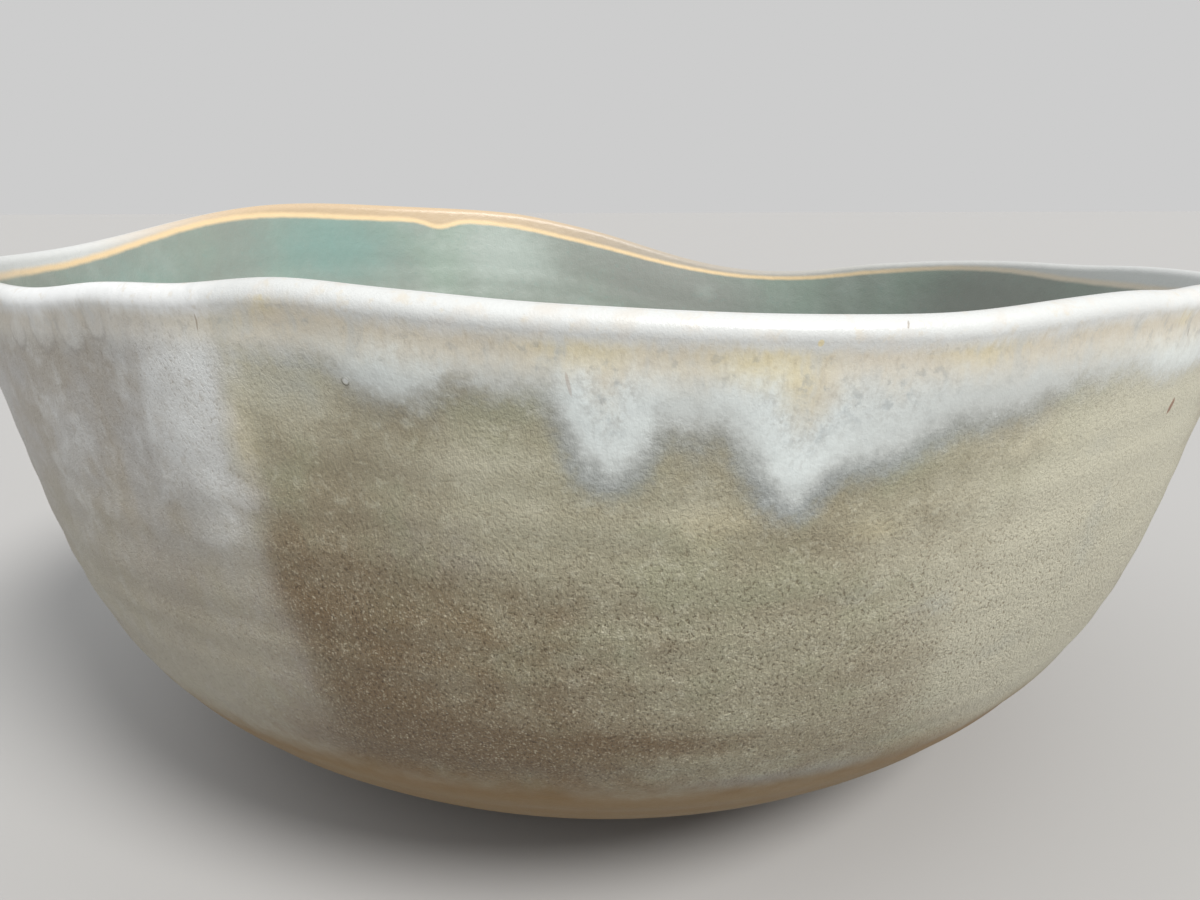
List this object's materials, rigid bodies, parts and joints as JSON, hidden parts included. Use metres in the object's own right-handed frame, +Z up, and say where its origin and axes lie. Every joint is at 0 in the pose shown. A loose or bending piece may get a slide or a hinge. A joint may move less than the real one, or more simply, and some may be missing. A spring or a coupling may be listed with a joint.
{
  "type": "stoneware serving bowl",
  "caption": "Wheel-thrown stoneware serving bowl with a rounded lip pushed into soft waves, a full belly and a low trimmed foot; stands on a table and holds food.",
  "frame": {"origin": "on the table, on the axis that the bowl was thrown about, under the centre of its foot", "axes": "+Z up along the throwing axis; -Y towards the side that the picture shows nearest; +X to the right seen from there"},
  "size_m": [0.2887, 0.2798, 0.1291],
  "materials": {
    "sage_glaze": "satin-matt stony sage and olive-tan glaze with a runny blue-white glaze over it from the lip down, honey-coloured where it breaks thin"
  },
  "bodies": {
    "root": {"bowl": "sage_glaze"}
  },
  "joints": []
}
